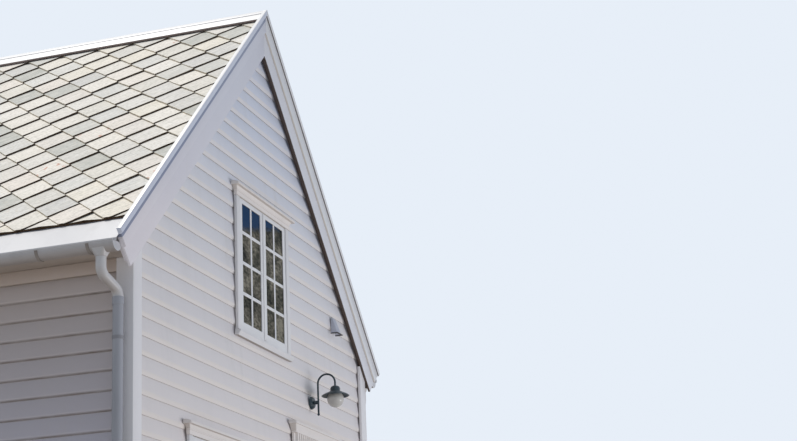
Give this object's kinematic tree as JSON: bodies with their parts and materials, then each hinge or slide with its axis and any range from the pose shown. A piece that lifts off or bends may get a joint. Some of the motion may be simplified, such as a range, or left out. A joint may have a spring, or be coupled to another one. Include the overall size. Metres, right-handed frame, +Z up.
{
  "type": "gabled house wing",
  "caption": "White timber house wing with a slate gable roof, double bargeboards, 16-pane casements, a door with an entablature, a boxed eave and gutters.",
  "frame": {"origin": "on the ground, under the middle of the front plinth wall: half way along the gable front, in the middle of the wall's 300 mm thickness", "axes": "X along the gable front, to the right seen from in front; Y from the front gable into the house; Z up"},
  "size_m": [5.9264, 6.3723, 7.2182],
  "materials": {
    "white_timber": "painted, satin",
    "inside_timber": "bare, matt",
    "slate": "weathered slate",
    "plinth_stone": "rough dressed",
    "white_sheet": "painted, satin",
    "sheet_cap": "painted, satin",
    "window_glass": "clear",
    "door_green": "painted, gloss",
    "lamp_green": "enamel",
    "lamp_opal": "opal",
    "vent_grey": "painted, matt"
  },
  "bodies": {
    "root": {"plinth": "plinth_stone", "front_steps": "plinth_stone", "ground_floor": "inside_timber", "attic_floor": "inside_timber", "front_wall": "white_timber", "front_gable": "white_timber", "back_wall": "white_timber", "back_gable": "white_timber", "left_wall": "white_timber", "right_wall": "white_timber", "roof_deck_left": "inside_timber", "roof_deck_right": "inside_timber", "slates_left": "slate", "slates_right": "slate", "ridge_boards": "sheet_cap", "front_left_inner_board": "white_timber", "front_right_inner_board": "white_timber", "front_left_outer_board": "white_timber", "front_right_outer_board": "white_timber", "front_left_verge_cap": "sheet_cap", "front_right_verge_cap": "sheet_cap", "back_inner_boards": "white_timber", "back_outer_boards": "white_timber", "back_verge_caps": "sheet_cap", "soffits": "white_timber", "fascias": "white_timber", "friezes": "white_timber", "eave_aprons": "white_sheet", "gutter_left": "white_sheet", "gutter_right": "white_sheet", "gutter_hooks": "white_sheet", "gutter_outlets": "white_sheet", "swan_necks": "white_sheet", "downpipes": "white_sheet", "pipe_clips": "white_sheet", "corner_boards": "white_timber", "window_frames": "white_timber", "window_casings": "white_timber", "window_heads": "white_timber", "window_sills": "white_timber", "left_sashes": "white_timber", "right_sashes": "white_timber", "window_glass": "window_glass", "door_frame": "white_timber", "door_casings": "white_timber", "door_head": "white_timber", "door_leaf": "door_green", "lamp_bracket": "lamp_green", "lamp_shade": "lamp_green", "lamp_globe": "lamp_opal", "vent_hood": "vent_grey"}
  },
  "joints": []
}
